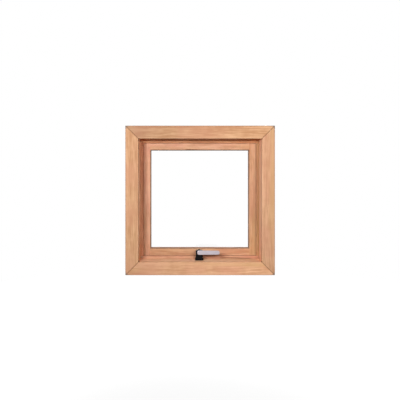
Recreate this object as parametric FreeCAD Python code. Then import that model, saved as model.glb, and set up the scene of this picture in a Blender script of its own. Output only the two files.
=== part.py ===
import FreeCAD, Part
import math
import os
from FreeCAD import Vector

# A square top hung timber window, shut, in a lined frame with a mitred architrave on the room side.
# X runs to the right as seen from the room, Y from the room to the outside and Z up.
# The origin is the middle of the sill's underside. Sizes are in millimetres.

# Architrave
OVERALL_WIDTH = 600.0
OVERALL_HEIGHT = 600.0
ARCHITRAVE_WIDTH = 52.0
ARCHITRAVE_THICKNESS = 18.0
ARCHITRAVE_ROUND = 2.0
MITRE_GAP = 0.6

# Fixed frame
FRAME_DEPTH = 110.0
FRAME_THICKNESS = 30.0
HOUSING_DEPTH = 8.0
ARRIS = 1.5

# Sill: a level shelf on the room side, an upstand behind it and a weathered slope to the nose
SILL_THICKNESS = 40.0
SILL_UPSTAND = 12.0
SILL_SLOPE_DEG = 8.0
SILL_NOSE = 30.0
NOSE_ROUND = 4.0
DRIP_RADIUS = 3.0
DRIP_SETBACK = 12.0

# Planted stops and the weather seal behind them
STOP_WIDTH = 11.0
STOP_DEPTH = 14.0
SEAL_THICKNESS = 2.0
SEAL_WIDTH = 5.0

# Sash
SASH_THICKNESS = 36.0
SASH_GAP = 3.0
SASH_LIFT = 4.0
STILE_WIDTH = 37.5
TOP_RAIL_WIDTH = 38.0
BOTTOM_RAIL_WIDTH = 48.0
SIGHT_THICKNESS = 14.0
SIGHT_CHAMFER = 2.0
TENON_THICKNESS = 12.0
TENON_SHOULDER = 3.0
TENON_HAUNCH = 8.0
THROAT_RADIUS = 2.5
THROAT_SETBACK = 9.0

# Glazing
GLASS_THICKNESS = 4.0
GLASS_EDGE_GAP = 2.0
GLASS_REBATE = 10.0
GASKET_THICKNESS = 2.0
GASKET_LIP = 1.5
BEAD_FALL = 5.0
BEAD_ROUND = 1.5

# Butt hinges along the head
HINGE_LENGTH = 65.0
HINGE_INSET = 70.0
LEAF_DEPTH = 30.0
KNUCKLE_COUNT = 5
KNUCKLE_RADIUS = 4.5
KNUCKLE_STAND = 0.5
KNUCKLE_GAP = 0.3
PIN_RADIUS = 2.0
PIN_CLEARANCE = 0.05
PIN_HEAD_RADIUS = 3.2
PIN_HEAD_LENGTH = 2.0

# Fastener: a lever on a block on the sill shelf turns a cam that holds a hook on the sash
PIVOT_X = -3.0
PIVOT_RISE = 33.0
BLOCK_TOP_WIDTH = 28.0
BLOCK_FOOT_WIDTH = 34.0
BLOCK_FOOT_HEIGHT = 4.0
BLOCK_FLARE_HEIGHT = 9.0
BLOCK_CROWN = 6.0
BLOCK_DEPTH = 28.0
BLOCK_STOP_GAP = 13.0
BLOCK_ROUND = 5.0
BLOCK_EDGE = 1.5
SPINDLE_RADIUS = 4.0
SPINDLE_CLEARANCE = 0.08
LEVER_GAP = 0.4
LEVER_BOSS_RADIUS = 8.7
LEVER_TIP_RADIUS = 8.0
LEVER_LENGTH = 92.5
LEVER_THICKNESS = 9.5
LEVER_ARM_THICKNESS = 6.0
LEVER_EDGE = 1.8
TANG_SIZE = 5.0
TANG_LENGTH = 6.0
TANG_CLEARANCE = 0.1
CAM_THICKNESS = 4.0
CAM_HUB_RADIUS = 7.0
CAM_TIP_RADIUS = 5.0
CAM_FOOT_CLEARANCE = 5.0
CAM_LIP_CLEARANCE = 1.6
HOOK_WIDTH = 26.0
HOOK_THICKNESS = 3.0
HOOK_BEND = 1.5
HOOK_STOP_GAP = 1.5
HOOK_PLATE_RISE = 21.0
CAM_CLEARANCE = 1.0

# Positions that follow from the sizes
ROOM_EDGE = -FRAME_DEPTH / 2
OUTER_EDGE = FRAME_DEPTH / 2
ARCHITRAVE_FRONT = ROOM_EDGE - ARCHITRAVE_THICKNESS
HALF_OPENING = OVERALL_WIDTH / 2 - ARCHITRAVE_WIDTH
HALF_HEIGHT = OVERALL_HEIGHT / 2 - ARCHITRAVE_WIDTH
HALF_FRAME = HALF_OPENING + FRAME_THICKNESS
SHELF_Z = SILL_THICKNESS
MID_Z = SHELF_Z + HALF_HEIGHT
SOFFIT_Z = MID_Z + HALF_HEIGHT
HEAD_TOP = SOFFIT_Z + FRAME_THICKNESS
SILL_SLOPE = math.tan(math.radians(SILL_SLOPE_DEG))
NOSE_Y = OUTER_EDGE + SILL_NOSE

SASH_BACK = OUTER_EDGE
SASH_FRONT = SASH_BACK - SASH_THICKNESS
STOP_BACK = SASH_FRONT - SEAL_THICKNESS
STOP_FRONT = STOP_BACK - STOP_DEPTH
WEATHER_Z = SHELF_Z - SILL_UPSTAND
HALF_SASH = HALF_OPENING - SASH_GAP
SASH_TOP = SOFFIT_Z - SASH_GAP
SASH_BOTTOM = WEATHER_Z + SASH_LIFT
HALF_SIGHT = HALF_SASH - STILE_WIDTH
SIGHT_TOP = SASH_TOP - TOP_RAIL_WIDTH
SIGHT_BOTTOM = SASH_BOTTOM + BOTTOM_RAIL_WIDTH
SIGHT_MID = (SIGHT_TOP + SIGHT_BOTTOM) / 2
HALF_SIGHT_HEIGHT = (SIGHT_TOP - SIGHT_BOTTOM) / 2

REBATE_FRONT = SASH_FRONT + SIGHT_THICKNESS
GLASS_FRONT = REBATE_FRONT + GASKET_THICKNESS
GLASS_BACK = GLASS_FRONT + GLASS_THICKNESS
HALF_REBATE = HALF_SIGHT + GLASS_REBATE
TENON_FRONT = SASH_FRONT + (SASH_THICKNESS - TENON_THICKNESS) / 2

HINGE_Y = OUTER_EDGE + KNUCKLE_STAND + KNUCKLE_RADIUS
HINGE_Z = SOFFIT_Z - SASH_GAP / 2
HINGE_X = HALF_SASH - HINGE_INSET - HINGE_LENGTH / 2

PIVOT_Z = SHELF_Z + PIVOT_RISE
BLOCK_BACK = STOP_FRONT - BLOCK_STOP_GAP
BLOCK_FRONT = BLOCK_BACK - BLOCK_DEPTH
LEVER_BACK = BLOCK_FRONT - LEVER_GAP
LEVER_FRONT = LEVER_BACK - LEVER_THICKNESS
HOOK_BOTTOM = SHELF_Z + STOP_WIDTH + HOOK_STOP_GAP
HOOK_FOOT_TOP = HOOK_BOTTOM + HOOK_THICKNESS
HOOK_FRONT = BLOCK_BACK + 2 * CAM_CLEARANCE
CAM_FRONT = HOOK_FRONT + HOOK_THICKNESS + CAM_CLEARANCE
CAM_BACK = CAM_FRONT + CAM_THICKNESS
CAM_REACH = PIVOT_Z - HOOK_FOOT_TOP - CAM_FOOT_CLEARANCE
HOOK_LIP_TOP = PIVOT_Z - CAM_HUB_RADIUS - CAM_LIP_CLEARANCE

SIDES = ("head", "bottom", "left", "right")


def box(x0, x1, y0, y1, z0, z1):
    """Block between two corners."""
    return Part.makeBox(x1 - x0, y1 - y0, z1 - z0, Vector(x0, y0, z0))


def rounded_face(points, radii):
    """Plane face from corner points; radii gives the radius of each rounded corner by its number."""
    turns = []
    for number, corner in enumerate(points):
        radius = radii.get(number, 0.0)
        before = (points[number - 1] - corner).normalize()
        after = (points[(number + 1) % len(points)] - corner).normalize()
        half_angle = before.getAngle(after) / 2
        setback = radius / math.tan(half_angle)
        inward = (before + after).normalize() * (radius / math.sin(half_angle) - radius)
        turns.append((corner + before * setback, corner + inward, corner + after * setback, radius))
    edges = []
    for number, (start, middle, end, radius) in enumerate(turns):
        if radius:
            edges.append(Part.Arc(start, middle, end).toShape())
        edges.append(Part.makeLine(end, turns[(number + 1) % len(turns)][0]))
    return Part.Face(Part.Wire(edges))


def prism(points, sweep, radii=None):
    """Outline swept straight along a vector."""
    return rounded_face(points, radii or {}).extrude(sweep)


def across(profile, half_width, radii=None):
    """Profile of (Y, Z) points run along X, centred on the window."""
    points = [Vector(-half_width, y, z) for y, z in profile]
    return prism(points, Vector(2 * half_width, 0, 0), radii)


def upright(profile, bottom, top, radii=None):
    """Profile of (X, Y) points run up from one height to another."""
    points = [Vector(x, y, bottom) for x, y in profile]
    return prism(points, Vector(0, 0, top - bottom), radii)


def tapered_plate(centre, big, small, reach, depth):
    """Plate with a big round end at the centre and a small one at the end of the reach vector."""
    along = Vector(reach).normalize()
    side = Vector(-along.z, 0, along.x)
    lean = (big - small) / reach.Length
    flank = math.sqrt(1 - lean * lean)
    left = along * lean + side * flank
    right = along * lean - side * flank
    tip = centre + reach
    edges = [
        Part.Arc(centre + left * big, centre - along * big, centre + right * big).toShape(),
        Part.makeLine(centre + right * big, tip + right * small),
        Part.Arc(tip + right * small, tip + along * small, tip + left * small).toShape(),
        Part.makeLine(tip + left * small, centre + left * big),
    ]
    return Part.Face(Part.Wire(edges)).extrude(Vector(0, depth, 0))


def rod(radius, start, end):
    """Round rod between two points."""
    return Part.makeCylinder(radius, (end - start).Length, start, end - start)


def mirrored(shape):
    """The same piece on the other side of the window."""
    return shape.mirror(Vector(0, 0, 0), Vector(1, 0, 0))


def one_solid(shape):
    """Joined faces merged, and the single solid taken out of its wrapper."""
    return shape.removeSplitter().Solids[0]


def on_side(side, outward, along, depth, mid_z):
    """Point so far out from the middle of an opening, and so far along one of its sides."""
    places = {
        "head": Vector(along, depth, mid_z + outward),
        "bottom": Vector(along, depth, mid_z - outward),
        "left": Vector(-outward, depth, mid_z + along),
        "right": Vector(outward, depth, mid_z + along),
    }
    return places[side]


def mitred_member(side, half_width, half_height, mid_z, section, gap=0.0, radii=None):
    """One side of a mitred surround. The section has (outward, Y) points from the opening's edge."""
    level = side in ("head", "bottom")
    reach = half_height if level else half_width
    half_length = half_width if level else half_height
    inner = min(outward for outward, _ in section)
    outer = max(outward for outward, _ in section)
    front = min(depth for _, depth in section)
    back = max(depth for _, depth in section)
    run = half_length + outer
    bar = prism(
        [on_side(side, reach + outward, -run, depth, mid_z) for outward, depth in section],
        on_side(side, 0, 2 * run, 0, 0),
        radii,
    )
    short_end = half_length + inner - gap / math.sqrt(2)
    long_end = half_length + outer - gap / math.sqrt(2)
    ends = ((inner, -short_end), (inner, short_end), (outer, long_end), (outer, -long_end))
    wedge = prism(
        [on_side(side, reach + outward, along, front, mid_z) for outward, along in ends],
        Vector(0, back - front, 0),
    )
    return one_solid(bar.common(wedge))


def long_front_edges(shape, front):
    """Edges of the front face that run straight up or straight across."""
    chosen = []
    for edge in shape.Edges:
        first, last = (vertex.Point for vertex in edge.Vertexes)
        in_front = abs(first.y - front) < ARRIS / 10 and abs(last.y - front) < ARRIS / 10
        square = abs(first.x - last.x) < ARRIS / 10 or abs(first.z - last.z) < ARRIS / 10
        if in_front and square:
            chosen.append(edge)
    return chosen


def architrave(side):
    """Board with both face edges rounded, mitred at 45 degrees and lapped onto the frame and wall."""
    section = [
        (0, ARCHITRAVE_FRONT),
        (ARCHITRAVE_WIDTH, ARCHITRAVE_FRONT),
        (ARCHITRAVE_WIDTH, ROOM_EDGE),
        (0, ROOM_EDGE),
    ]
    board = mitred_member(side, HALF_OPENING, HALF_HEIGHT, MID_Z, section, MITRE_GAP)
    return board.makeFillet(ARCHITRAVE_ROUND, long_front_edges(board, ARCHITRAVE_FRONT))


def sill_outline():
    """Full-length sill with shelf, upstand, weathered slope, rounded nose and drip groove."""
    profile = [
        (ROOM_EDGE, 0),
        (ROOM_EDGE, SHELF_Z),
        (STOP_BACK, SHELF_Z),
        (STOP_BACK, WEATHER_Z),
        (NOSE_Y, WEATHER_Z - (NOSE_Y - STOP_BACK) * SILL_SLOPE),
        (NOSE_Y, 0),
    ]
    sill = across(profile, HALF_FRAME, {4: NOSE_ROUND, 5: ARRIS})
    groove_y = NOSE_Y - DRIP_SETBACK
    groove = rod(DRIP_RADIUS, Vector(-HALF_FRAME, groove_y, 0), Vector(HALF_FRAME, groove_y, 0))
    return one_solid(sill.cut(groove))


def left_jamb(sill):
    """Board housed into the head, its foot scribed over the sill."""
    board = upright(
        [
            (-HALF_FRAME, ROOM_EDGE),
            (-HALF_OPENING, ROOM_EDGE),
            (-HALF_OPENING, OUTER_EDGE),
            (-HALF_FRAME, OUTER_EDGE),
        ],
        0,
        SOFFIT_Z + HOUSING_DEPTH,
        {2: ARRIS},
    )
    return one_solid(board.cut(sill))


def frame_head(jambs):
    """Board across the top with a housing at each end for the jamb."""
    profile = [
        (ROOM_EDGE, SOFFIT_Z),
        (OUTER_EDGE, SOFFIT_Z),
        (OUTER_EDGE, HEAD_TOP),
        (ROOM_EDGE, HEAD_TOP),
    ]
    head = across(profile, HALF_FRAME)
    for jamb in jambs:
        head = head.cut(jamb)
    return one_solid(head)


def head_stop():
    """Stop under the head, between the jambs."""
    profile = [
        (STOP_FRONT, SOFFIT_Z),
        (STOP_FRONT, SOFFIT_Z - STOP_WIDTH),
        (STOP_BACK, SOFFIT_Z - STOP_WIDTH),
        (STOP_BACK, SOFFIT_Z),
    ]
    return across(profile, HALF_OPENING, {1: ARRIS})


def sill_stop():
    """Stop along the back of the shelf, between the jambs."""
    profile = [
        (STOP_FRONT, SHELF_Z),
        (STOP_FRONT, SHELF_Z + STOP_WIDTH),
        (STOP_BACK, SHELF_Z + STOP_WIDTH),
        (STOP_BACK, SHELF_Z),
    ]
    return across(profile, HALF_OPENING, {1: ARRIS})


def left_stop():
    """Stop on the jamb, from the sill stop to the head stop."""
    inner = -HALF_OPENING + STOP_WIDTH
    profile = [
        (-HALF_OPENING, STOP_FRONT),
        (inner, STOP_FRONT),
        (inner, STOP_BACK),
        (-HALF_OPENING, STOP_BACK),
    ]
    return upright(profile, SHELF_Z + STOP_WIDTH, SOFFIT_Z - STOP_WIDTH, {1: ARRIS})


def weather_seals():
    """Compressed strips that the shut sash bears on, one to each side."""
    land = STOP_WIDTH - SASH_GAP
    margin = (land - SEAL_WIDTH) / 2
    side_outer = HALF_SASH - margin
    side_inner = side_outer - SEAL_WIDTH
    head_high = SASH_TOP - margin
    head_low = head_high - SEAL_WIDTH
    sill_low = SASH_BOTTOM + (SHELF_Z - SASH_BOTTOM - SEAL_WIDTH) / 2
    sill_high = sill_low + SEAL_WIDTH
    left = box(-side_outer, -side_inner, STOP_BACK, SASH_FRONT, sill_high, head_low)
    return {
        "seal_head": box(-side_outer, side_outer, STOP_BACK, SASH_FRONT, head_low, head_high),
        "seal_sill": box(-side_outer, side_outer, STOP_BACK, SASH_FRONT, sill_low, sill_high),
        "seal_left": left,
        "seal_right": mirrored(left),
    }


def rail_profile(sight, outer):
    """Rail section as (Y, Z) points, with the sight edge chamfered and rebated for the glass."""
    out = math.copysign(1.0, outer - sight)
    return [
        (SASH_FRONT, outer),
        (SASH_FRONT, sight + out * SIGHT_CHAMFER),
        (SASH_FRONT + SIGHT_CHAMFER, sight),
        (REBATE_FRONT, sight),
        (REBATE_FRONT, sight + out * GLASS_REBATE),
        (SASH_BACK, sight + out * GLASS_REBATE),
        (SASH_BACK, outer),
    ]


def stile_blank():
    """Left stile before it is mortised, running past both rails."""
    profile = [(-x, y) for y, x in rail_profile(HALF_SIGHT, HALF_SASH)]
    return upright(profile, 0, SASH_TOP)


def tenons(low, high):
    """Bar as thick and as high as a rail's tenons, reaching both outer edges of the sash."""
    back = TENON_FRONT + TENON_THICKNESS
    return box(-HALF_SASH, HALF_SASH, TENON_FRONT, back, low, high)


def under_sash():
    """What is cleared below the sash: its underside falls outwards with the sill and has a throat."""
    profile = [
        (SASH_FRONT, 0),
        (SASH_FRONT, SASH_BOTTOM),
        (SASH_BACK, SASH_BOTTOM - SASH_THICKNESS * SILL_SLOPE),
        (SASH_BACK, 0),
    ]
    wedge = across(profile, HALF_OPENING)
    throat_y = SASH_BACK - THROAT_SETBACK
    throat_z = SASH_BOTTOM - (throat_y - SASH_FRONT) * SILL_SLOPE
    start = Vector(-HALF_OPENING, throat_y, throat_z)
    return wedge.fuse(rod(THROAT_RADIUS, start, start + Vector(2 * HALF_OPENING, 0, 0)))


def sash_frame():
    """Stiles and rails joined by through tenons, each shoulder scribed over the stile's rebate."""
    stile = stile_blank()
    wedge = under_sash()
    tenon_bars = {
        "top": tenons(SIGHT_TOP + GLASS_REBATE + TENON_SHOULDER, SASH_TOP - TENON_HAUNCH),
        "bottom": tenons(SASH_BOTTOM + TENON_HAUNCH, SIGHT_BOTTOM - GLASS_REBATE - TENON_SHOULDER),
    }
    blanks = {
        "top": across(rail_profile(SIGHT_TOP, SASH_TOP), HALF_REBATE),
        "bottom": across(rail_profile(SIGHT_BOTTOM, 0), HALF_REBATE),
    }
    pieces = {}
    for name, blank in blanks.items():
        shouldered = blank.cut(stile).cut(mirrored(stile))
        rail = shouldered.fuse(tenon_bars[name]).cut(wedge)
        pieces[f"sash_{name}_rail"] = one_solid(rail)
        stile = stile.cut(tenon_bars[name])
    stile = one_solid(stile.cut(wedge))
    pieces["sash_left_stile"] = stile
    pieces["sash_right_stile"] = mirrored(stile)
    return pieces


def glass_pane():
    """Single sheet held short of the rebate all round."""
    cover = GLASS_REBATE - GLASS_EDGE_GAP
    return box(
        -HALF_SIGHT - cover,
        HALF_SIGHT + cover,
        GLASS_FRONT,
        GLASS_BACK,
        SIGHT_BOTTOM - cover,
        SIGHT_TOP + cover,
    )


def glazing_surround(side, section, radii=None):
    """One side of a mitred surround of the glass."""
    return mitred_member(side, HALF_SIGHT, HALF_SIGHT_HEIGHT, SIGHT_MID, section, radii=radii)


def gasket(side):
    """Strip between rebate and glass, its lip showing past the sight edge."""
    cover = GLASS_REBATE - GLASS_EDGE_GAP
    return glazing_surround(
        side,
        [
            (-GASKET_LIP, REBATE_FRONT),
            (cover, REBATE_FRONT),
            (cover, GLASS_FRONT),
            (-GASKET_LIP, GLASS_FRONT),
        ],
    )


def glazing_bead(side):
    """Outside bead with a face that falls towards the glass and a rounded nose."""
    return glazing_surround(
        side,
        [
            (0, GLASS_BACK),
            (GLASS_REBATE, GLASS_BACK),
            (GLASS_REBATE, SASH_BACK),
            (0, SASH_BACK - BEAD_FALL),
        ],
        {3: BEAD_ROUND},
    )


def butt_hinge(mid_x):
    """Hinge in the gap over the sash: two leaves with alternate knuckles on one pin."""
    start_x = mid_x - HINGE_LENGTH / 2
    end_x = mid_x + HINGE_LENGTH / 2
    pitch = HINGE_LENGTH / KNUCKLE_COUNT
    heights = ((HINGE_Z, SOFFIT_Z), (SASH_TOP, HINGE_Z))
    leaves = [box(start_x, end_x, OUTER_EDGE - LEAF_DEPTH, OUTER_EDGE, low, high) for low, high in heights]
    for number in range(KNUCKLE_COUNT):
        owner = number % 2
        low, high = heights[owner]
        x0 = start_x + number * pitch + KNUCKLE_GAP / 2
        x1 = x0 + pitch - KNUCKLE_GAP
        tab = box(x0, x1, OUTER_EDGE, HINGE_Y, low, high)
        barrel = rod(KNUCKLE_RADIUS, Vector(x0, HINGE_Y, HINGE_Z), Vector(x1, HINGE_Y, HINGE_Z))
        leaves[owner] = leaves[owner].fuse(tab).fuse(barrel)
    first = Vector(start_x, HINGE_Y, HINGE_Z)
    last = Vector(end_x, HINGE_Y, HINGE_Z)
    bore = rod(PIN_RADIUS + PIN_CLEARANCE, first, last)
    pin = rod(PIN_RADIUS, first, last)
    head = Vector(PIN_HEAD_LENGTH, 0, 0)
    pin = pin.fuse(rod(PIN_HEAD_RADIUS, first - head, first)).fuse(rod(PIN_HEAD_RADIUS, last, last + head))
    frame_leaf, sash_leaf = (one_solid(leaf.cut(bore)) for leaf in leaves)
    return {"frame_leaf": frame_leaf, "sash_leaf": sash_leaf, "pin": one_solid(pin)}


def fastener_body():
    """Block on the shelf, flared to a foot and bored for the spindle."""
    half_foot = BLOCK_FOOT_WIDTH / 2
    half_top = BLOCK_TOP_WIDTH / 2
    foot_z = SHELF_Z + BLOCK_FOOT_HEIGHT
    flare_z = foot_z + BLOCK_FLARE_HEIGHT
    crown_z = PIVOT_Z + BLOCK_CROWN
    right_side = [(half_foot, SHELF_Z), (half_foot, foot_z), (half_top, flare_z), (half_top, crown_z)]
    left_side = [(-x, z) for x, z in reversed(right_side)]
    points = [Vector(PIVOT_X + x, BLOCK_FRONT, z) for x, z in right_side + left_side]
    rounding = {1: BLOCK_EDGE, 2: BLOCK_ROUND, 3: BLOCK_ROUND, 4: BLOCK_ROUND, 5: BLOCK_ROUND, 6: BLOCK_EDGE}
    block = prism(points, Vector(0, BLOCK_DEPTH, 0), rounding)
    front_edges = [
        edge
        for edge in block.Edges
        if edge.BoundBox.YMax < BLOCK_FRONT + BLOCK_EDGE and edge.BoundBox.ZMax > SHELF_Z + BLOCK_EDGE
    ]
    block = block.makeFillet(BLOCK_EDGE, front_edges)
    bore = rod(
        SPINDLE_RADIUS + SPINDLE_CLEARANCE,
        Vector(PIVOT_X, BLOCK_FRONT, PIVOT_Z),
        Vector(PIVOT_X, BLOCK_BACK, PIVOT_Z),
    )
    return one_solid(block.cut(bore))


def square_tang(clearance):
    """Square end of the spindle inside the lever's boss."""
    half = TANG_SIZE / 2 + clearance
    return box(
        PIVOT_X - half,
        PIVOT_X + half,
        LEVER_BACK - TANG_LENGTH - clearance,
        LEVER_BACK,
        PIVOT_Z - half,
        PIVOT_Z + half,
    )


def fastener_lever():
    """Tapered lever with a full boss, hollowed behind the arm for the fingers."""
    span = LEVER_LENGTH - LEVER_BOSS_RADIUS - LEVER_TIP_RADIUS
    pivot = Vector(PIVOT_X, LEVER_FRONT, PIVOT_Z)
    blade = tapered_plate(
        pivot, LEVER_BOSS_RADIUS, LEVER_TIP_RADIUS, Vector(span, 0, 0), LEVER_THICKNESS
    )
    front_edges = [edge for edge in blade.Edges if edge.BoundBox.YMax < LEVER_FRONT + LEVER_EDGE / 2]
    blade = blade.makeFillet(LEVER_EDGE, front_edges)
    arm_start = PIVOT_X + LEVER_BOSS_RADIUS
    tip_end = PIVOT_X + LEVER_LENGTH
    arm_back = LEVER_FRONT + LEVER_ARM_THICKNESS
    neck = LEVER_BACK - arm_back
    low = PIVOT_Z - LEVER_BOSS_RADIUS
    hollow = prism(
        [
            Vector(arm_start, LEVER_BACK, low),
            Vector(arm_start + neck, arm_back, low),
            Vector(tip_end, arm_back, low),
            Vector(tip_end, LEVER_BACK, low),
        ],
        Vector(0, 0, 2 * LEVER_BOSS_RADIUS),
        {1: neck},
    )
    return one_solid(blade.cut(hollow).cut(square_tang(TANG_CLEARANCE)))


def fastener_cam():
    """Spindle with a square front end and the cam at its back, pointing down when fastened."""
    shaft = rod(SPINDLE_RADIUS, Vector(PIVOT_X, LEVER_BACK, PIVOT_Z), Vector(PIVOT_X, CAM_BACK, PIVOT_Z))
    drop = Vector(0, 0, CAM_TIP_RADIUS - CAM_REACH)
    cam = tapered_plate(
        Vector(PIVOT_X, CAM_FRONT, PIVOT_Z), CAM_HUB_RADIUS, CAM_TIP_RADIUS, drop, CAM_THICKNESS
    )
    return one_solid(shaft.fuse(cam).fuse(square_tang(0.0)))


def fastener_striker():
    """Bent hook on the sash: a plate on the rail, a foot over the sill stop and a lip before the cam."""
    lip_back = HOOK_FRONT + HOOK_THICKNESS
    plate_front = SASH_FRONT - HOOK_THICKNESS
    profile = [
        (SASH_FRONT, HOOK_BOTTOM),
        (SASH_FRONT, HOOK_BOTTOM + HOOK_PLATE_RISE),
        (plate_front, HOOK_BOTTOM + HOOK_PLATE_RISE),
        (plate_front, HOOK_FOOT_TOP),
        (lip_back, HOOK_FOOT_TOP),
        (lip_back, HOOK_LIP_TOP),
        (HOOK_FRONT, HOOK_LIP_TOP),
        (HOOK_FRONT, HOOK_BOTTOM),
    ]
    points = [Vector(PIVOT_X - HOOK_WIDTH / 2, y, z) for y, z in profile]
    return prism(points, Vector(HOOK_WIDTH, 0, 0), {7: HOOK_BEND})


def fixed_frame():
    """Head, jambs, sill and stops."""
    sill = sill_outline()
    jamb = left_jamb(sill)
    stop = left_stop()
    return {
        "frame_sill": sill,
        "frame_left_jamb": jamb,
        "frame_right_jamb": mirrored(jamb),
        "frame_head": frame_head((jamb, mirrored(jamb))),
        "stop_head": head_stop(),
        "stop_sill": sill_stop(),
        "stop_left": stop,
        "stop_right": mirrored(stop),
    }


def all_pieces():
    """Every piece of the window by name."""
    pieces = {f"architrave_{side}": architrave(side) for side in SIDES}
    pieces.update(fixed_frame())
    pieces.update(weather_seals())
    pieces.update(sash_frame())
    pieces["glass_pane"] = glass_pane()
    for side in SIDES:
        pieces[f"gasket_{side}"] = gasket(side)
        pieces[f"glazing_bead_{side}"] = glazing_bead(side)
    for hand, mid_x in (("left", -HINGE_X), ("right", HINGE_X)):
        for name, piece in butt_hinge(mid_x).items():
            pieces[f"{hand}_hinge_{name}"] = piece
    pieces["fastener_body"] = fastener_body()
    pieces["fastener_lever"] = fastener_lever()
    pieces["fastener_cam"] = fastener_cam()
    pieces["fastener_striker"] = fastener_striker()
    return pieces


os.makedirs("parts", exist_ok=True)
for piece_name, piece_shape in all_pieces().items():
    piece_shape.exportStep(os.path.join("parts", piece_name + ".step"))
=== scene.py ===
import math

import bmesh
import bpy
from mathutils import Matrix, Vector


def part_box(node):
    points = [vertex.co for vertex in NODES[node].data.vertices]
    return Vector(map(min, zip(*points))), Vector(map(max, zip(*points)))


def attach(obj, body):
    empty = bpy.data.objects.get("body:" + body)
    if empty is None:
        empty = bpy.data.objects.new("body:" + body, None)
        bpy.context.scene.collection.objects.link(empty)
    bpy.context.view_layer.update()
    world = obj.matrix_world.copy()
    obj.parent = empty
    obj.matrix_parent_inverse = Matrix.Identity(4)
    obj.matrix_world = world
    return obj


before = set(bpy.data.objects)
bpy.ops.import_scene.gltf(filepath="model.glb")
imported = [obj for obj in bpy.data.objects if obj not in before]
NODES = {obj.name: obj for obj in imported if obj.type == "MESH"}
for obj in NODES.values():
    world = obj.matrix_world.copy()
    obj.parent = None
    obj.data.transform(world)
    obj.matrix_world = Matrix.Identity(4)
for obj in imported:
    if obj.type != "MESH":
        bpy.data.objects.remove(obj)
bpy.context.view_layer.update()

# Places on the window, in metres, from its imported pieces
HEAD_LOW, HEAD_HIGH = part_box("architrave_head")
FOOT_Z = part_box("architrave_bottom")[0].z
MID_Z = (HEAD_HIGH.z + FOOT_Z) / 2
HALF_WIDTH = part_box("architrave_right")[1].x
ROOM_FACE_Y = HEAD_LOW.y
HALF_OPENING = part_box("architrave_right")[0].x
SIGHT_HALF_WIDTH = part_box("sash_right_stile")[0].x
SIGHT_LOW_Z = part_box("sash_bottom_rail")[1].z
SIGHT_HIGH_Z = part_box("sash_top_rail")[0].z
STOP_FACE_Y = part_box("stop_sill")[0].y
STOP_FOOT_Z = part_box("stop_sill")[0].z
SIGHT_MID_Z = (SIGHT_LOW_Z + SIGHT_HIGH_Z) / 2
SIGHT_HALF_HEIGHT = (SIGHT_HIGH_Z - SIGHT_LOW_Z) / 2


class Shade:
    """A number that changes over a surface. Sums on it become Math nodes."""

    def __init__(self, finish, socket):
        self.finish = finish
        self.socket = socket

    def math(self, operation, *values):
        return self.finish.number("ShaderNodeMath", {"operation": operation}, dict(enumerate(values)))

    def __add__(self, other):
        return self.math("ADD", self, other)

    def __radd__(self, other):
        return self.math("ADD", other, self)

    def __sub__(self, other):
        return self.math("SUBTRACT", self, other)

    def __rsub__(self, other):
        return self.math("SUBTRACT", other, self)

    def __mul__(self, other):
        return self.math("MULTIPLY", self, other)

    def __rmul__(self, other):
        return self.math("MULTIPLY", other, self)

    def __abs__(self):
        return self.math("ABSOLUTE", self)

    def larger(self, other):
        return self.math("MAXIMUM", self, other)

    def ease(self, start, end):
        """0 before start and 1 past end, with a soft change between. The two may run downwards."""
        return self.finish.number(
            "ShaderNodeMapRange",
            {"interpolation_type": "SMOOTHSTEP"},
            {"Value": self, "From Min": start, "From Max": end, "To Min": 0.0, "To Max": 1.0},
        )


# Mix has sockets for each type of data. These are the numbers of those for colours
MIX_FIRST = 6
MIX_SECOND = 7
MIX_RESULT = 2


class NodeWork:
    """Nodes of one tree, of a finish or of the surroundings."""

    def __init__(self, tree, output):
        self.tree = tree
        self.tree.nodes.clear()
        self.output = self.tree.nodes.new(output)

    def node(self, kind, settings=None, inputs=None):
        made = self.tree.nodes.new(kind)
        for key, value in (settings or {}).items():
            setattr(made, key, value)
        for key, value in (inputs or {}).items():
            self.feed(made.inputs[key], value)
        return made

    def feed(self, socket, value):
        if isinstance(value, Shade):
            self.tree.links.new(value.socket, socket)
        elif isinstance(value, bpy.types.NodeSocket):
            self.tree.links.new(value, socket)
        else:
            socket.default_value = value

    def number(self, kind, settings=None, inputs=None):
        return Shade(self, self.node(kind, settings, inputs).outputs[0])

    def colour_mix(self, amount, first, second, blend="MIX"):
        made = self.node(
            "ShaderNodeMix",
            {"data_type": "RGBA", "blend_type": blend, "clamp_factor": True},
            {"Factor": amount, MIX_FIRST: first, MIX_SECOND: second},
        )
        return made.outputs[MIX_RESULT]

    def seen_directly(self):
        """1 for what the camera sees straight, in gloss or through glass."""
        path = self.node("ShaderNodeLightPath")
        rays = ("Is Camera Ray", "Is Glossy Ray", "Is Transmission Ray")
        straight, gloss, through = (Shade(self, path.outputs[ray]) for ray in rays)
        return straight.larger(gloss).larger(through)

    def show(self, shader):
        self.feed(self.output.inputs["Surface"], shader.outputs[0])


EVENLY = (1.0, 1.0, 1.0)
UNSHIFTED = (0.0, 0.0, 0.0)


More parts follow.
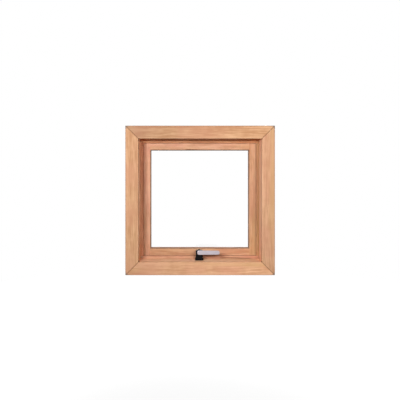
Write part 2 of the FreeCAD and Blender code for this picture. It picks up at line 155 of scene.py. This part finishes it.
class Finish(NodeWork):
    """A material of the window, in the object's own coordinates."""

    def __init__(self, name):
        self.material = bpy.data.materials.new(name)
        self.material.use_nodes = True
        super().__init__(self.material.node_tree, "ShaderNodeOutputMaterial")

    def place(self):
        return self.node("ShaderNodeTexCoord").outputs["Object"]

    def split(self, vector):
        parts = self.node("ShaderNodeSeparateXYZ", inputs={"Vector": vector})
        return [Shade(self, part) for part in parts.outputs]

    def axes(self):
        return self.split(self.place())

    def facing(self):
        """Which way the surface faces, along each of the object's own axes."""
        return self.split(self.node("ShaderNodeTexCoord").outputs["Normal"])

    def noise(self, kind, stretch=EVENLY, shift=UNSHIFTED):
        """Soft noise of a kind, which is its features a metre, detail and roughness.

        A stretch below 1 draws it out along that axis.
        """
        scale, detail, roughness = kind
        spot = self.node(
            "ShaderNodeMapping",
            {"vector_type": "POINT"},
            {"Vector": self.place(), "Location": shift, "Scale": stretch},
        )
        return self.number(
            "ShaderNodeTexNoise",
            {"noise_dimensions": "3D"},
            {"Vector": spot.outputs[0], "Scale": scale, "Detail": detail, "Roughness": roughness},
        )

    def bump(self, height, depth, strength):
        relief = self.node("ShaderNodeBump", inputs={"Height": height, "Distance": depth, "Strength": strength})
        return relief.outputs[0]

    def surface(self, **sockets):
        shader = self.node("ShaderNodeBsdfPrincipled")
        for key, value in sockets.items():
            self.feed(shader.inputs[key.replace("_", " ")], value)
        self.show(shader)
        return self.material


def srgb(red, green, blue):
    """Colour as it shows, from 0 to 255, as the light values a shader takes."""
    def light(value):
        part = value / 255
        return part / 12.92 if part <= 0.04045 else ((part + 0.055) / 1.055) ** 2.4
    return (light(red), light(green), light(blue), 1.0)


def shifted(tone, step):
    """A board's tone moved by a step in red, green and blue."""
    return srgb(*(part + change for part, change in zip(tone, step)))


def past(place, steps):
    """The places at two distances past one. A negative distance is short of it."""
    return [place + step for step in steps]


# Timber, each board with its own length of grain. Its noises are features a metre, detail and roughness

ALONG_X = (0.06, 1.0, 1.0)
ALONG_Z = (1.0, 1.0, 0.06)
BANDS = (46.0, 4.0, 0.6)
STREAKS = (190.0, 3.0, 0.6)
PORES = (1900.0, 2.0, 0.5)
RIPPLES = (64.0, 2.0, 0.5)
PATCHES = (9.0, 2.0, 0.5)
GOLDEN_BANDS = (21.0, 2.0, 0.5)
RINGS = (330.0, 3.0, 0.5)
RIPPLE_STRETCH = (0.6, 1.0, 0.6)
RING_STRETCH = (1.0, 0.4, 1.0)
NOISE_MIDDLE = 0.5

# How much each noise counts in the grain, and the noise levels between which a change of colour comes in
BAND_WEIGHT = 2.3
STREAK_WEIGHT = 3.2
RIPPLE_WEIGHT = 0.8
PATCH_LEVELS = (0.40, 0.66)
GOLDEN_LEVELS = (0.48, 0.68)
FLECK_PORE_LEVELS = (0.60, 0.74)
FLECK_STREAK_LEVELS = (0.40, 0.62)
RING_LEVELS = (0.38, 0.62)

# Steps from a board's own tone
DARK_GRAIN = (-18, -20, -19)
PALE_GRAIN = (14, 16, 15)
RUDDY_PATCH = (1, -10, 0)
GOLDEN_BAND = (-5, 2, -9)
DARK_RING = (-56, -57, -50)
PALE_RING = (-26, -28, -26)
# Painted highlight, where the rounded inner arris of the architrave catches the light
ARRIS_HIGHLIGHT = (17, 19, 20)
DARK_RIM = (-34, -34, -22)

# Colours that are the same on every board
FLECK = srgb(122, 74, 46)
SEAM = srgb(128, 80, 46)
TIP = srgb(130, 114, 102)
GLAZING_LINE = srgb(136, 104, 84)
DARK_MARK = srgb(104, 62, 36)
# Painted shade: the head's underside is darker and redder than its other faces
PAINTED_UNDERSIDE_SHADE = srgb(212, 173, 129)

# How far each change of colour goes, from 0 to 1
PATCH_AMOUNT = 0.40
GOLDEN_AMOUNT = 0.6
FLECK_AMOUNT = 0.32
END_AMOUNT = 0.85
ARRIS_AMOUNT = 0.25
RIM_AMOUNT = 0.6
SEAM_AMOUNT = 0.68
TIP_AMOUNT = 0.75
GLAZING_AMOUNT = 0.7

# Where edge work fades in, in metres past the opening, the outer edge, the mitre, the corner and the sight edge
ARRIS_FADE = (0.009, 0.003)
RIM_FADE = (-0.005, -0.001)
SEAM_FADE = (0.0028, 0.0006)
TIP_FADE = (-0.020, -0.006)
GLAZING_FADE = (0.0036, 0.0008)
# How squarely a face looks along the grain, or down, to count as a cut end or an underside
END_FACING = (0.90, 0.99)
DOWN_FACING = (-0.5, -0.9)

# Coat over the timber
COAT_ROUGHNESS = 0.56
COAT_STREAKS = 0.18
COAT_FLECKS = 0.15
COAT_SPECULAR = 0.10
RELIEF_STREAKS = 0.6
RELIEF_FLECKS = 0.8
RELIEF_DEPTH = 0.00025
RELIEF_STRENGTH = 0.35


def cut_ends(wood, colour, grain, shift, tone):
    """End grain where the board is cut across."""
    rings = wood.noise(RINGS, RING_STRETCH, shift)
    cut = abs(wood.facing()[grain.index(min(grain))]).ease(*END_FACING)
    end_grain = wood.colour_mix(rings.ease(*RING_LEVELS), shifted(tone, DARK_RING), shifted(tone, PALE_RING))
    return wood.colour_mix(cut * END_AMOUNT, colour, end_grain)


def mitred_edges(wood, colour, tone, run, rise):
    """Painted highlight on the inner arris, darker rim, the line of the mitre and its greyed tip."""
    outwards = run.larger(rise)
    arris = outwards.ease(*past(HALF_OPENING, ARRIS_FADE))
    rim = outwards.ease(*past(HALF_WIDTH, RIM_FADE))
    seam = abs(run - rise).ease(*SEAM_FADE)
    tip = (run + rise).ease(*past(2 * HALF_WIDTH, TIP_FADE))
    colour = wood.colour_mix(arris * ARRIS_AMOUNT, colour, shifted(tone, ARRIS_HIGHLIGHT))
    colour = wood.colour_mix(rim * RIM_AMOUNT, colour, shifted(tone, DARK_RIM))
    colour = wood.colour_mix(seam * SEAM_AMOUNT, colour, SEAM)
    return wood.colour_mix(tip * TIP_AMOUNT, colour, TIP)


def glazed_edge(wood, colour, x, z):
    """Thin dark line along the sight edge, round the glass."""
    outwards = (abs(x) - SIGHT_HALF_WIDTH).larger(abs(z - SIGHT_MID_Z) - SIGHT_HALF_HEIGHT)
    return wood.colour_mix(outwards.ease(*GLAZING_FADE) * GLAZING_AMOUNT, colour, GLAZING_LINE)


# Dark marks that single boards carry, each as how strong it is at a place on the window, in metres

SIGHT_MARK_RISE = 0.0012
SIGHT_MARK_FADE = (0.0036, 0.0014)
SIGHT_MARK_LEFT = (-0.066, -0.054)
SIGHT_MARK_RIGHT = (0.030, -0.050)
SIGHT_MARK_STRENGTH = 0.85

FOOT_MARK_HEIGHT = 0.0097
FOOT_MARK_FALL = 0.035
FOOT_MARK_FADE = (-0.0015, 0.0015)
FOOT_MARK_LEFT = (0.078, 0.098)
FOOT_MARK_RIGHT = (0.222, 0.204)
FOOT_MARK_STRENGTH = 0.5

SHELF_MARK_LEFT = (0.135, 0.165)
SHELF_MARK_FRONT = (-0.014, -0.003)
SHELF_MARK_BACK = (0.004, 0.001)
SHELF_MARK_LOW = (-0.002, -0.001)
SHELF_MARK_STRENGTH = 0.4


def sight_edge_mark(x, y, z):
    """Short dark mark along the top rail's sight edge, fading to the right."""
    edge = abs(z - (SIGHT_HIGH_Z + SIGHT_MARK_RISE)).ease(*SIGHT_MARK_FADE)
    return edge * x.ease(*SIGHT_MARK_LEFT) * x.ease(*SIGHT_MARK_RIGHT) * SIGHT_MARK_STRENGTH


def stop_foot_mark(x, y, z):
    """Darkening below a slanting line along the right of the sill stop's foot, thinner towards the corner."""
    below = (STOP_FOOT_Z + FOOT_MARK_HEIGHT - x * FOOT_MARK_FALL - z).ease(*FOOT_MARK_FADE)
    return below * x.ease(*FOOT_MARK_LEFT) * x.ease(*FOOT_MARK_RIGHT) * FOOT_MARK_STRENGTH


def shelf_back_mark(x, y, z):
    """The same darkening on the back of the shelf, where it meets the stop."""
    back = y.ease(*past(STOP_FACE_Y, SHELF_MARK_FRONT)) * y.ease(*past(STOP_FACE_Y, SHELF_MARK_BACK))
    shelf = z.ease(*past(STOP_FOOT_Z, SHELF_MARK_LOW))
    return back * shelf * x.ease(*SHELF_MARK_LEFT) * x.ease(*FOOT_MARK_RIGHT) * SHELF_MARK_STRENGTH


MARKS = {"sash_top_rail": sight_edge_mark, "stop_sill": stop_foot_mark, "frame_sill": shelf_back_mark}


def timber(name, grain, shift, tone, tone_and_light_lift, edges, mark):
    """Clear coated straight grained hardwood. Shift picks the board's own stretch of grain."""
    wood = Finish(name)
    x, y, z = wood.axes()
    bands = wood.noise(BANDS, grain, shift)
    streaks = wood.noise(STREAKS, grain, shift)
    pores = wood.noise(PORES, grain, shift)
    ripples = wood.noise(RIPPLES, RIPPLE_STRETCH, shift)
    patches = wood.noise(PATCHES, EVENLY, shift)
    golden = wood.noise(GOLDEN_BANDS, grain, shift[::-1])
    figure = (
        NOISE_MIDDLE
        + (bands - NOISE_MIDDLE) * BAND_WEIGHT
        + (streaks - NOISE_MIDDLE) * STREAK_WEIGHT
        + (ripples - NOISE_MIDDLE) * RIPPLE_WEIGHT
    )
    flecks = pores.ease(*FLECK_PORE_LEVELS) * streaks.ease(*FLECK_STREAK_LEVELS)
    colour = wood.colour_mix(figure, shifted(tone, DARK_GRAIN), shifted(tone, PALE_GRAIN))
    colour = wood.colour_mix(patches.ease(*PATCH_LEVELS) * PATCH_AMOUNT, colour, shifted(tone, RUDDY_PATCH))
    colour = wood.colour_mix(golden.ease(*GOLDEN_LEVELS) * GOLDEN_AMOUNT, colour, shifted(tone, GOLDEN_BAND))
    colour = wood.colour_mix(flecks * FLECK_AMOUNT, colour, FLECK)
    # Painted light, partly the board's own change of tone: the board gets lighter towards one end
    lengthwise = x if grain is ALONG_X else z - MID_Z
    colour = wood.colour_mix(1.0, colour, 1.0 + lengthwise * (tone_and_light_lift / HALF_WIDTH), "MULTIPLY")
    if edges == "mitred":
        colour = mitred_edges(wood, colour, tone, abs(x), abs(z - MID_Z))
    else:
        colour = cut_ends(wood, colour, grain, shift, tone)
    # Painted shade: the faces that look down, on the head's underside, are darkened and reddened
    if edges == "shaded_underside":
        colour = wood.colour_mix(wood.facing()[2].ease(*DOWN_FACING), colour, PAINTED_UNDERSIDE_SHADE, "MULTIPLY")
    if edges == "glazed":
        colour = glazed_edge(wood, colour, x, z)
    if mark:
        colour = wood.colour_mix(mark(x, y, z), colour, DARK_MARK)
    gloss = COAT_ROUGHNESS + (streaks - NOISE_MIDDLE) * COAT_STREAKS + flecks * COAT_FLECKS
    relief = wood.bump(streaks * RELIEF_STREAKS - flecks * RELIEF_FLECKS, RELIEF_DEPTH, RELIEF_STRENGTH)
    return wood.surface(Base_Color=colour, Roughness=gloss, Specular_IOR_Level=COAT_SPECULAR, Normal=relief)


# Board, run of its grain, its tone, how much lighter it gets from its middle upwards or to the right,
# and the edge work on it. The tones carry painted light: the jambs, the shelf and the head stop are lighter
# to make up for the shade they stand in, and the architrave's head is darker than its foot to even out the lamps.
# The lightening is partly the boards' own change of tone and partly painted light that falls stronger towards one
# end
BOARDS = (
    ("architrave_head", ALONG_X, (201, 154, 116), 0.23, "mitred"),
    ("architrave_bottom", ALONG_X, (221, 169, 130), 0.18, "mitred"),
    ("architrave_left", ALONG_Z, (201, 153, 115), 0.04, "mitred"),
    ("architrave_right", ALONG_Z, (213, 163, 126), 0.03, "mitred"),
    ("frame_head", ALONG_X, (213, 159, 121), 0.00, "shaded_underside"),
    ("frame_sill", ALONG_X, (235, 185, 148), 0.00, "plain"),
    ("frame_left_jamb", ALONG_Z, (237, 178, 137), 0.15, "plain"),
    ("frame_right_jamb", ALONG_Z, (244, 190, 154), 0.04, "plain"),
    ("stop_head", ALONG_X, (239, 171, 126), 0.08, "plain"),
    ("stop_sill", ALONG_X, (197, 149, 119), 0.06, "plain"),
    ("stop_left", ALONG_Z, (206, 145, 110), 0.00, "plain"),
    ("stop_right", ALONG_Z, (191, 145, 107), 0.00, "plain"),
    ("sash_left_stile", ALONG_Z, (203, 151, 121), 0.07, "glazed"),
    ("sash_right_stile", ALONG_Z, (201, 154, 119), 0.00, "glazed"),
    ("sash_top_rail", ALONG_X, (206, 158, 127), 0.07, "glazed"),
    ("sash_bottom_rail", ALONG_X, (201, 153, 118), 0.17, "glazed"),
    ("glazing_bead_head", ALONG_X, (212, 158, 121), 0.00, "plain"),
    ("glazing_bead_bottom", ALONG_X, (212, 158, 121), 0.00, "plain"),
    ("glazing_bead_left", ALONG_Z, (212, 158, 121), 0.00, "plain"),
    ("glazing_bead_right", ALONG_Z, (212, 158, 121), 0.00, "plain"),
)
# How far each board's grain lies from the one before it, along each axis
GRAIN_STEP = (0.37, 0.61, 0.23)


# Glass, rubber and metal. Their noises are features a metre, detail and roughness. Their roughness is its least
# and what the noise adds, and their relief is its depth in metres and its strength

HAZE = (6.0, 2.0, 0.5)
HAZE_LEVELS = (0.4, 0.9)
HAZE_ROUGHNESS = 0.02
GLASS_IOR = 1.45

DUST = (900.0, 3.0, 0.5)
DUST_LEVELS = (0.45, 0.8)
DUST_AMOUNT = 0.4
DUST_COLOUR = srgb(120, 108, 98)
RUBBER_ROUGHNESS = (0.62, 0.2)
RUBBER_RELIEF = (0.0001, 0.3)

BRUSHING = (2600.0, 2.0, 0.5)
BRUSHING_STRETCH = (0.03, 1.0, 1.0)
CLOUD = (60.0, 2.0, 0.5)
SATIN_ROUGHNESS = (0.30, 0.14)
SATIN_RELIEF = (0.00005, 0.25)

SPECKLE = (2400.0, 2.0, 0.5)
BLACK_ROUGHNESS = (0.44, 0.12)
BLACK_RELIEF = (0.00008, 0.4)
BLACK_SPECULAR = 0.10

SCUFF = (420.0, 3.0, 0.5)
SCUFF_STRETCH = (0.15, 1.0, 1.0)
STEEL_ROUGHNESS = (0.34, 0.2)
STEEL_RELIEF = (0.00006, 0.3)


def rough(noise, least, added):
    """Roughness that a noise raises from its least."""
    return least + noise * added


def clear_glass():
    """Clear sheet glass."""
    glass = Finish("clear_glass")
    haze = glass.noise(HAZE)
    return glass.surface(
        Base_Color=(1.0, 1.0, 1.0, 1.0),
        Roughness=haze.ease(*HAZE_LEVELS) * HAZE_ROUGHNESS,
        Transmission_Weight=1.0,
        IOR=GLASS_IOR,
    )


def rubber(name, tone):
    """Extruded sealing strip."""
    strip = Finish(name)
    dust = strip.noise(DUST)
    return strip.surface(
        Base_Color=strip.colour_mix(dust.ease(*DUST_LEVELS) * DUST_AMOUNT, tone, DUST_COLOUR),
        Roughness=rough(dust, *RUBBER_ROUGHNESS),
        Normal=strip.bump(dust, *RUBBER_RELIEF),
    )


def satin_metal():
    """Brushed bright metal of the lever."""
    metal = Finish("satin_metal")
    brushing = metal.noise(BRUSHING, BRUSHING_STRETCH)
    cloud = metal.noise(CLOUD)
    return metal.surface(
        Base_Color=metal.colour_mix(cloud, srgb(176, 167, 173), srgb(195, 185, 191)),
        Metallic=1.0,
        Roughness=rough(brushing, *SATIN_ROUGHNESS),
        Normal=metal.bump(brushing, *SATIN_RELIEF),
    )


def black_coat():
    """Satin black powder coat."""
    coat = Finish("black_coat")
    speckle = coat.noise(SPECKLE)
    return coat.surface(
        Base_Color=coat.colour_mix(speckle, srgb(6, 5, 5), srgb(14, 12, 12)),
        Roughness=rough(speckle, *BLACK_ROUGHNESS),
        Specular_IOR_Level=BLACK_SPECULAR,
        Normal=coat.bump(speckle, *BLACK_RELIEF),
    )


def hinge_steel():
    """Plated steel of the hinges."""
    steel = Finish("hinge_steel")
    scuff = steel.noise(SCUFF, SCUFF_STRETCH)
    return steel.surface(
        Base_Color=steel.colour_mix(scuff, srgb(168, 166, 162), srgb(200, 198, 194)),
        Metallic=1.0,
        Roughness=rough(scuff, *STEEL_ROUGHNESS),
        Normal=steel.bump(scuff, *STEEL_RELIEF),
    )


def dress(node, material):
    """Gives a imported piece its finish."""
    mesh = NODES[node].data
    mesh.materials.clear()
    mesh.materials.append(material)


for number, (node, grain, tone, tone_and_light_lift, edges) in enumerate(BOARDS):
    offset = tuple(step * number for step in GRAIN_STEP)
    dress(node, timber("timber_" + node, grain, offset, tone, tone_and_light_lift, edges, MARKS.get(node)))

GASKET = rubber("gasket_rubber", srgb(128, 96, 74))
SEAL = rubber("seal_rubber", srgb(34, 31, 30))
SATIN = satin_metal()
BLACK = black_coat()
STEEL = hinge_steel()
for side in ("head", "bottom", "left", "right"):
    dress("gasket_" + side, GASKET)
for side in ("head", "sill", "left", "right"):
    dress("seal_" + side, SEAL)
for hand in ("left", "right"):
    for piece in ("frame_leaf", "sash_leaf", "pin"):
        dress(f"{hand}_hinge_{piece}", STEEL)
dress("glass_pane", clear_glass())
dress("fastener_lever", SATIN)
for piece in ("body", "cam", "striker"):
    dress("fastener_" + piece, BLACK)


# Small fasteners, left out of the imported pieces. A slot's reach, depth and taper are parts of the head's radius,
# the head's rise and the slot's width, and turns are in radians

HEAD_SIDES = 20
SKIRT_SPREAD = 1.12
SLOT_REACH = 0.8
SLOT_DEPTH = 0.7
SLOT_TAPER = 0.1
CUT_MERGE = 1e-7
CROWN_LEVEL = 0.9
FIRST_TURN = 0.7
NEXT_TURN = 1.1
HEAD_SUNK = 0.0001


def head_mesh(radius, rise, slot_width):
    """Round fastener head on the origin, rising along z, with a slot sunk in it if the slot has a width."""
    head = bmesh.new()
    bmesh.ops.create_circle(head, cap_ends=True, radius=radius, segments=HEAD_SIDES)
    if slot_width:
        across, along = Vector((1.0, 0.0, 0.0)), Vector((0.0, 1.0, 0.0))
        for way, reach in ((across, slot_width / 2), (along, SLOT_REACH * radius)):
            for side in (-1, 1):
                bmesh.ops.bisect_plane(
                    head,
                    geom=head.verts[:] + head.edges[:] + head.faces[:],
                    dist=CUT_MERGE,
                    plane_co=way * side * reach,
                    plane_no=way,
                )
    rim = [edge for edge in head.edges if edge.is_boundary]
    skirt = bmesh.ops.extrude_edge_only(head, edges=rim)
    low = [part for part in skirt["geom"] if isinstance(part, bmesh.types.BMVert)]
    bmesh.ops.translate(head, verts=low, vec=(0.0, 0.0, -rise))
    bmesh.ops.scale(head, verts=low, vec=(SKIRT_SPREAD, SKIRT_SPREAD, 1.0))
    bmesh.ops.holes_fill(head, edges=[edge for edge in head.edges if edge.is_boundary], sides=0)
    bmesh.ops.translate(head, verts=head.verts, vec=(0.0, 0.0, rise))
    bmesh.ops.recalc_face_normals(head, faces=head.faces)
    if slot_width:
        crown = [face for face in head.faces if face.calc_center_median().z > CROWN_LEVEL * rise]
        slot = min(crown, key=lambda face: face.calc_center_median().xy.length)
        bmesh.ops.inset_region(head, faces=[slot], thickness=SLOT_TAPER * slot_width, depth=-SLOT_DEPTH * rise)
    return head


def fasteners(name, spots, toward, radius, rise, slot_width, material):
    """One piece with a head at each spot, facing along the window's depth."""
    turn = Matrix.Rotation(-toward * math.pi / 2, 4, "X")
    mesh = bpy.data.meshes.new(name)
    whole = bmesh.new()
    for number, spot in enumerate(spots):
        head = head_mesh(radius, rise, slot_width)
        twist = Matrix.Rotation(FIRST_TURN + NEXT_TURN * number, 4, "Z")
        bmesh.ops.transform(head, verts=head.verts, matrix=Matrix.Translation(spot) @ turn @ twist)
        one = bpy.data.meshes.new(name + "_head")
        head.to_mesh(one)
        head.free()
        whole.from_mesh(one)
        bpy.data.meshes.remove(one)
    whole.to_mesh(mesh)
    whole.free()
    mesh.materials.append(material)
    piece = bpy.data.objects.new(name, mesh)
    bpy.context.collection.objects.link(piece)
    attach(piece, "window")


# Pins along the glazing beads, on their outside face
PIN_RADIUS = 0.0011
PIN_RISE = 0.0003
PIN_SPACING = 0.150
BEAD_LOW, BEAD_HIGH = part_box("glazing_bead_left")
BEAD_X = -(BEAD_LOW.x + BEAD_HIGH.x) / 2
BEAD_RISE = (BEAD_HIGH.z - BEAD_LOW.z) / 2 - (BEAD_HIGH.x - BEAD_LOW.x) / 2
PIN_Y = BEAD_HIGH.y - HEAD_SUNK
PIN_SPOTS = []
for step in (-1, 0, 1):
    for side in (-1, 1):
        PIN_SPOTS.append((side * BEAD_X, PIN_Y, SIGHT_MID_Z + step * PIN_SPACING))
        PIN_SPOTS.append((step * PIN_SPACING, PIN_Y, SIGHT_MID_Z + side * BEAD_RISE))
fasteners("bead_pins", PIN_SPOTS, 1, PIN_RADIUS, PIN_RISE, 0.0, STEEL)

# Screws through the striker's plate
SCREW_RADIUS = 0.0024
SCREW_RISE = 0.0005
SCREW_SLOT = 0.0007
SCREW_FROM_MIDDLE = 0.0075
SCREW_FROM_TOP = 0.0075
STRIKER_PLATE = 0.003
STRIKER_LOW, STRIKER_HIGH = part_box("fastener_striker")
STRIKER_MID_X = (STRIKER_LOW.x + STRIKER_HIGH.x) / 2
SCREW_Y = STRIKER_HIGH.y - STRIKER_PLATE + HEAD_SUNK
SCREW_Z = STRIKER_HIGH.z - SCREW_FROM_TOP
SCREW_SPOTS = [(STRIKER_MID_X + side * SCREW_FROM_MIDDLE, SCREW_Y, SCREW_Z) for side in (-1, 1)]
fasteners("striker_screws", SCREW_SPOTS, -1, SCREW_RADIUS, SCREW_RISE, SCREW_SLOT, BLACK)


# Stage: white surroundings, a pale floor well below the sill, and soft light

BLACK_LIGHT = (0.0, 0.0, 0.0, 1.0)
WHITE_LIGHT = (1.0, 1.0, 1.0, 1.0)
AIR_LIGHT = (0.02, 0.02, 0.02, 1.0)
FLOOR_BELOW = 0.9
FLOOR_RADIUS = 4.0
FLOOR_SIDES = 64
FLOOR_GREY = (0.14, 0.14, 0.14, 1.0)
# The floor shows less than white under the window, and white past it, by the square of the distance
FLOOR_UNDER = 0.82
FLOOR_FADE = (0.3, 2.2)


def surroundings():
    """World that shows white and adds a little even light."""
    world = bpy.data.worlds.new("surroundings")
    bpy.context.scene.world = world
    world.use_nodes = True
    air = NodeWork(world.node_tree, "ShaderNodeOutputWorld")
    shown = air.node("ShaderNodeBackground", inputs={"Color": WHITE_LIGHT})
    lit = air.node("ShaderNodeBackground", inputs={"Color": AIR_LIGHT})
    both = {0: air.seen_directly(), 1: lit.outputs[0], 2: shown.outputs[0]}
    air.show(air.node("ShaderNodeMixShader", inputs=both))


def floor(height):
    """Pale floor that shows white away from the soft shadow under the window."""
    shape = bmesh.new()
    bmesh.ops.create_circle(shape, cap_ends=True, radius=FLOOR_RADIUS, segments=FLOOR_SIDES)
    bmesh.ops.translate(shape, verts=shape.verts, vec=(0.0, 0.0, height))
    mesh = bpy.data.meshes.new("floor")
    shape.to_mesh(mesh)
    shape.free()
    sheet = bpy.data.objects.new("floor", mesh)
    bpy.context.collection.objects.link(sheet)
    paint = Finish("floor_paint")
    x, y, _ = paint.axes()
    away = (x * x + y * y).ease(*FLOOR_FADE)
    shown = paint.seen_directly() * (FLOOR_UNDER + away * (1.0 - FLOOR_UNDER))
    matt = paint.node("ShaderNodeBsdfDiffuse", inputs={"Color": FLOOR_GREY})
    white = paint.colour_mix(shown, BLACK_LIGHT, WHITE_LIGHT)
    glow = paint.node("ShaderNodeEmission", inputs={"Color": white, "Strength": 1.0})
    paint.show(paint.node("ShaderNodeAddShader", inputs={0: matt.outputs[0], 1: glow.outputs[0]}))
    mesh.materials.append(paint.material)


def lamp(name, place, width, height, power, in_gloss):
    """Soft rectangular light aimed at the window's middle."""
    data = bpy.data.lights.new(name, "AREA")
    data.shape = "RECTANGLE"
    data.size = width
    data.size_y = height
    data.energy = power
    light = bpy.data.objects.new(name, data)
    bpy.context.collection.objects.link(light)
    light.location = place
    light.visible_camera = False
    light.visible_transmission = False
    light.visible_glossy = in_gloss
    light.rotation_euler = (Vector(MIDDLE) - Vector(place)).to_track_quat("-Z", "Y").to_euler()


# Lamp, its place, width and height in metres, its watts, and whether it shows in gloss. The fill doesn't,
# because its mirror image would stand on the glass. Key and fill light the room side, and the others the rest
MIDDLE = (0.0, 0.0, MID_Z)
LAMPS = (
    ("key", (-0.60, -1.50, 0.68), 0.38, 0.25, 19.3, True),
    ("fill", (0.45, -1.70, 0.70), 0.42, 0.28, 14.3, False),
    ("left_side", (-3.10, 0.50, 0.75), 0.8, 0.8, 28.0, True),
    ("right_side", (3.10, 0.50, 0.75), 0.8, 0.8, 28.0, True),
    ("top", (0.0, 0.50, 3.39), 0.9, 0.9, 30.0, True),
    ("outside", (0.9, 3.2, 1.2), 1.4, 1.0, 80.0, True),
)
surroundings()
floor(FOOT_Z - FLOOR_BELOW)
for row in LAMPS:
    lamp(*row)

# Camera square to the window, left of and above its middle, with the frame shifted onto it
SENSOR = 36.0
EYE_LEFT = 0.0286
EYE_ABOVE = 0.110
EYE_DISTANCE = 1.663
LENS = 37.35
SHIFT_ACROSS = 0.0175
SHIFT_UP = -0.0675
camera_data = bpy.data.cameras.new("camera")
camera_data.sensor_width = SENSOR
camera_data.lens = LENS
camera_data.shift_x = SHIFT_ACROSS
camera_data.shift_y = SHIFT_UP
camera = bpy.data.objects.new("camera", camera_data)
bpy.context.collection.objects.link(camera)
camera.location = (-EYE_LEFT, ROOM_FACE_Y - EYE_DISTANCE, MID_Z + EYE_ABOVE)
camera.rotation_euler = (math.pi / 2, 0.0, 0.0)
bpy.context.scene.camera = camera
bpy.context.scene.view_settings.view_transform = "Standard"
